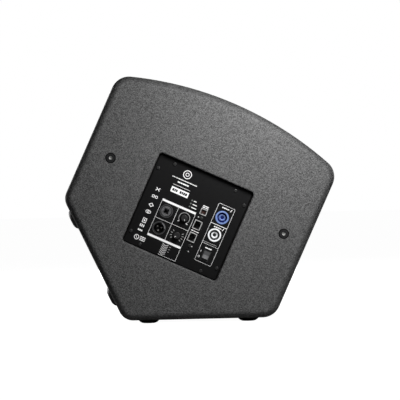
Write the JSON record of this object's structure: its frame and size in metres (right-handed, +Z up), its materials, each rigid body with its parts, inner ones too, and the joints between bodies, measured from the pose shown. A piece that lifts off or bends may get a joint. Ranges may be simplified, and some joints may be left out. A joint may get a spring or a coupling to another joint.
{
  "type": "stage monitor wedge",
  "caption": "Self-powered wooden floor monitor with a curved grille, coaxial driver, side amplifier panel with its connectors, a recessed handle and two base angles.",
  "frame": {"origin": "centre of the footprint on the floor, standing on the base feet", "axes": "+X from the audience-facing rear to the performer's side, the longest side; +Y across the width, away from the amplifier; +Z up"},
  "size_m": [0.484, 0.4, 0.4446],
  "materials": {
    "cabinet_paint": "textured black-grey polyurea paint on plywood",
    "birch_ply": "bare birch plywood",
    "grille_paint": "fine matt black powder coat",
    "panel_paint": "smooth satin black",
    "black_zinc": "black-passivated steel",
    "bright_steel": "bright zinc plated",
    "dark_steel": "phosphated steel",
    "ferrite": "sintered ferrite",
    "cast_alloy": "black painted die cast",
    "folded_alloy": "folded sheet",
    "black_plastic": "moulded black nylon",
    "grey_plastic": "moulded grey",
    "blue_plastic": "moulded blue",
    "white_plastic": "moulded pale grey",
    "lens_plastic": "translucent",
    "foot_rubber": "moulded rubber",
    "seal_rubber": "closed cell seal",
    "acoustic_foam": "open cell foam",
    "wadding": "polyester wadding",
    "cone_paper": "coated pulp",
    "surround_cloth": "doped cloth",
    "spider_cloth": "resin treated cotton",
    "coil": "copper winding on a thin former",
    "circuit_board": "glass laminate",
    "power_parts": "sleeved",
    "brass": "plated contacts",
    "cable_jacket": "jacket"
  },
  "bodies": {
    "cabinet": {"amp_board": "circuit_board", "amp_chassis": "folded_alloy", "amp_gasket": "seal_rubber", "amp_mount_frame": "birch_ply", "back_plate": "dark_steel", "baffle_board": "cabinet_paint", "base_panel": "cabinet_paint", "blanking_screws": "black_zinc", "board_standoffs": "bright_steel", "combo_jack_insert": "grey_plastic", "combo_jack_shell": "black_plastic", "compression_driver": "dark_steel", "control_bodies": "black_plastic", "corner_rails": "cabinet_paint", "cross_braces": "birch_ply", "faceplate": "panel_paint", "faceplate_screws": "black_zinc", "foot_screws": "bright_steel", "front_panel": "cabinet_paint", "grille": "grille_paint", "grille_foam": "acoustic_foam", "grille_screws": "black_zinc", "handle_screws": "black_zinc", "heat_sink": "folded_alloy", "hf_horn": "black_plastic", "input_board": "circuit_board", "led_lenses": "lens_plastic", "mains_inlet": "blue_plastic", "mains_outlet": "white_plastic", "port_tubes": "black_plastic", "power_components": "power_parts", "rear_base_panel": "cabinet_paint", "rear_panel": "cabinet_paint", "recessed_handle": "black_plastic", "ring_magnet": "ferrite", "rj45_inserts": "black_plastic", "rj45_shells": "bright_steel", "rocker_housing": "black_plastic", "rubber_feet": "foot_rubber", "side_panel_amp": "cabinet_paint", "side_panel_handle": "cabinet_paint", "speaker_cables": "cable_jacket", "spider": "spider_cloth", "surround": "surround_cloth", "threaded_inserts": "black_zinc", "top_plate": "dark_steel", "usb_socket": "brass", "wadding": "wadding", "woofer_basket": "cast_alloy", "woofer_gasket": "seal_rubber", "woofer_screws": "black_zinc", "xlr_pins": "brass", "xlr_shell": "black_plastic"},
    "level_control": {"level_knob": "black_plastic", "level_shaft": "grey_plastic"},
    "preset_control": {"preset_knob": "black_plastic", "preset_shaft": "grey_plastic"},
    "switch_rocker": {"power_rocker": "grey_plastic"},
    "cone_assembly": {"cone": "cone_paper", "voice_coil": "coil"}
  },
  "joints": [
    {"name": "level_turn", "type": "hinge", "parent": "cabinet", "child": "level_control", "pos_m": [-0.02884, -0.195, 0.18786], "axis": [0, 1, 0], "range_deg": [-300, 0]},
    {"name": "preset_turn", "type": "hinge", "parent": "cabinet", "child": "preset_control", "pos_m": [-0.04304, -0.195, 0.15741], "axis": [0, 1, 0], "range_deg": [0, 280]},
    {"name": "rocker_tip", "type": "hinge", "parent": "cabinet", "child": "switch_rocker", "pos_m": [0.00805, -0.1888, 0.11979], "axis": [0.9063, 0, -0.4226], "range_deg": [0, 24]},
    {"name": "cone_travel", "type": "slide", "parent": "cabinet", "child": "cone_assembly", "axis": [0.4226, 0, 0.9063], "range_m": [-0.005, 0.005], "stiffness_N_per_m": 6000, "deforming": ["surround", "spider"]}
  ]
}
